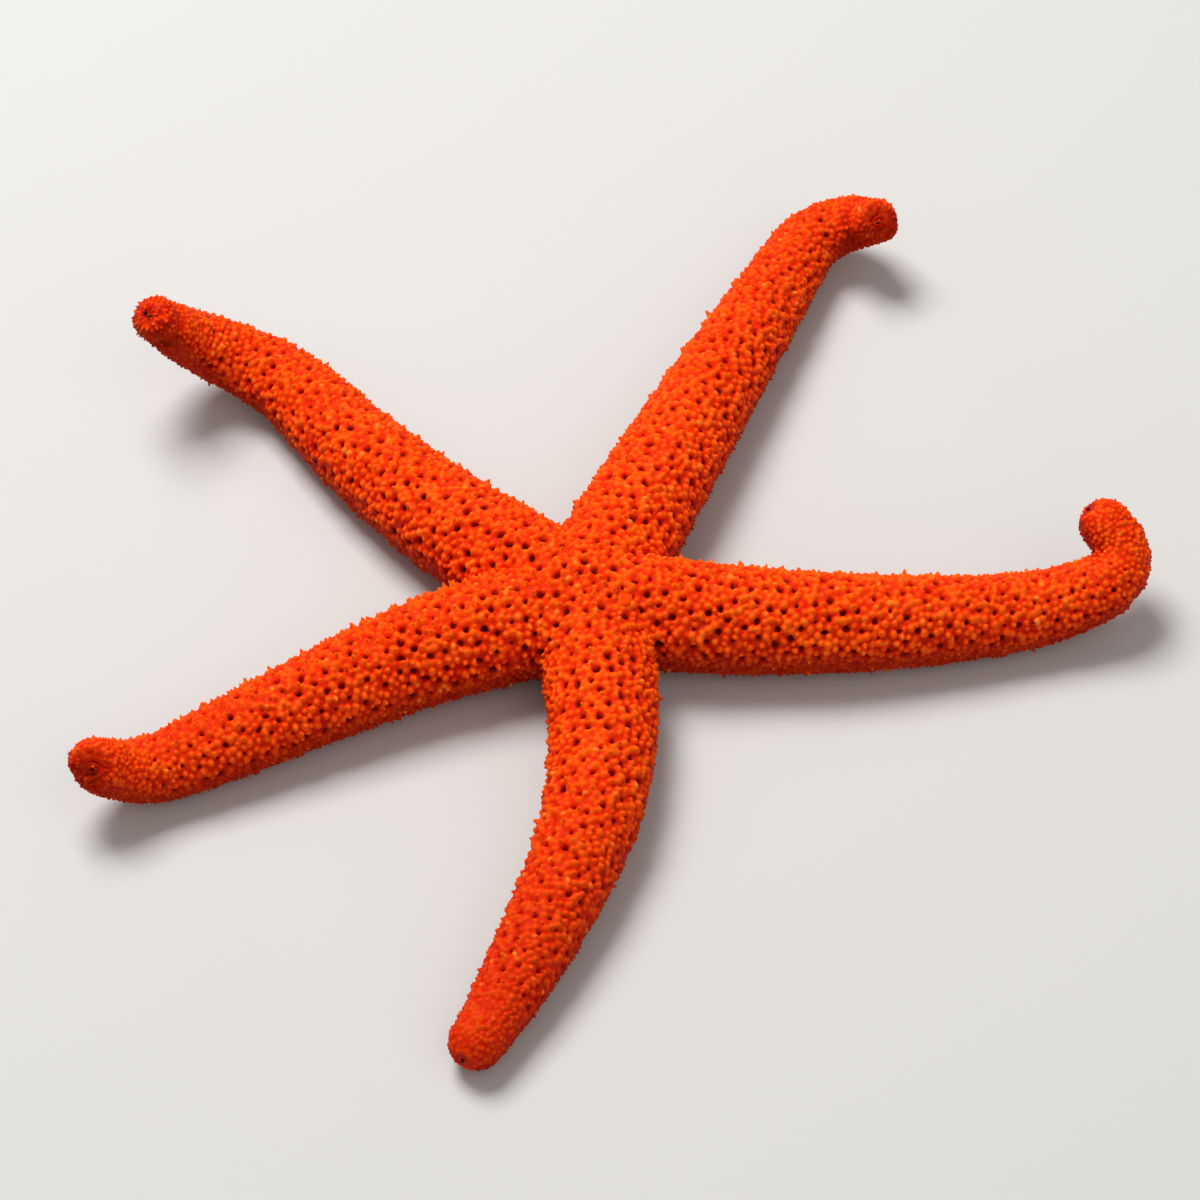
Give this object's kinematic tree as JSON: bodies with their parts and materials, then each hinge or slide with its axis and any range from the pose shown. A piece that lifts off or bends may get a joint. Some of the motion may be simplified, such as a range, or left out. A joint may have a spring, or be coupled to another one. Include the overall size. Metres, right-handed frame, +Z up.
{
  "type": "finger starfish model",
  "caption": "Life-size orange-red finger starfish lying on its flat underside, with slender bent arms, raised and hooked tips, blunt tubercles and tube feet.",
  "frame": {"origin": "middle of the bounding box, level with the sole that the animal rests on; the middle of the disc lies 4.4 mm towards -X and 1.1 mm towards -Y of it", "axes": "+Z up from the mouth side to the back; -Y towards the arm that comes forward in the picture; +X towards the arm with the hooked tip"},
  "size_m": [0.1312, 0.1334, 0.0189],
  "materials": {
    "back_flesh": "bright orange-red skin, moist and softly glossy, darker red in the pits and low on the sides",
    "mouth_flesh": "darker red, moist",
    "sieve_plate": "paler orange, chalky and finely grooved",
    "eyespot": "very dark red, moist"
  },
  "bodies": {
    "root": {"disc": "back_flesh", "mouth": "mouth_flesh", "madreporite": "sieve_plate", "arm_right_root": "back_flesh", "arm_right_middle": "back_flesh", "arm_right_outer": "back_flesh", "arm_right_tip": "back_flesh", "arm_back_right_root": "back_flesh", "arm_back_right_middle": "back_flesh", "arm_back_right_tip": "back_flesh", "arm_back_left_root": "back_flesh", "arm_back_left_middle": "back_flesh", "arm_back_left_tip": "back_flesh", "arm_left_root": "back_flesh", "arm_left_middle": "back_flesh", "arm_left_tip": "back_flesh", "arm_front_root": "back_flesh", "arm_front_middle": "back_flesh", "arm_front_tip": "back_flesh", "eyespot_right": "eyespot", "eyespot_back_right": "eyespot", "eyespot_back_left": "eyespot", "eyespot_left": "eyespot", "eyespot_front": "eyespot"}
  },
  "joints": []
}
